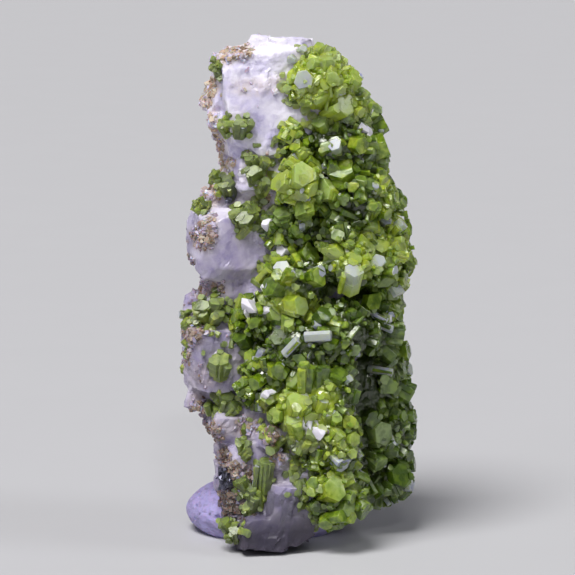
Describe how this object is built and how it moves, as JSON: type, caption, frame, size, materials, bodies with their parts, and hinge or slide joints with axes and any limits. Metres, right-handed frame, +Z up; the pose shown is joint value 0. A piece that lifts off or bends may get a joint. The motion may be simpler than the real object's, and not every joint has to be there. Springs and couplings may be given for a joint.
{
  "type": "pyromorphite specimen",
  "caption": "Upright mineral specimen: a crust of six-sided yellow-green pyromorphite prisms over white quartz, with small crystal clusters on the bare rock, standing in a lump of putty.",
  "frame": {"origin": "middle of the whole object's footprint, on the surface that it stands on", "axes": "+Z up along the specimen's height, +X to the right as the picture shows it, +Y away from the viewer"},
  "size_m": [0.0306, 0.029, 0.0649],
  "materials": {
    "quartz": "white to lavender massive quartz, milky, broken faces, tan iron crust at the edges",
    "pyromorphite": "translucent yellow-green crystals with resinous gloss and pale flat ends",
    "lead_ore": "dark grey metallic cubes",
    "putty": "soft pale lavender-grey putty with fine dark specks"
  },
  "bodies": {
    "root": {"quartz_matrix": "quartz", "pyromorphite_crust": "pyromorphite", "putty_foot": "putty", "dark_ore_cubes": "lead_ore", "crystals_top_edge": "pyromorphite", "cluster_upper_left": "pyromorphite", "cluster_waist": "pyromorphite", "cluster_left_edge": "pyromorphite", "cluster_shoulder": "pyromorphite", "crystals_ledge": "pyromorphite", "cluster_middle_left": "pyromorphite", "crystals_lower_edge": "pyromorphite", "stubby_prism": "pyromorphite", "cluster_fork": "pyromorphite", "crystals_nodule": "pyromorphite", "long_prism": "pyromorphite", "prism_fan": "pyromorphite", "cluster_toe": "pyromorphite", "back_cluster_top": "pyromorphite", "back_cluster_shoulder": "pyromorphite", "back_cluster_middle": "pyromorphite", "back_cluster_low": "pyromorphite", "back_cluster_foot": "pyromorphite"}
  },
  "joints": []
}
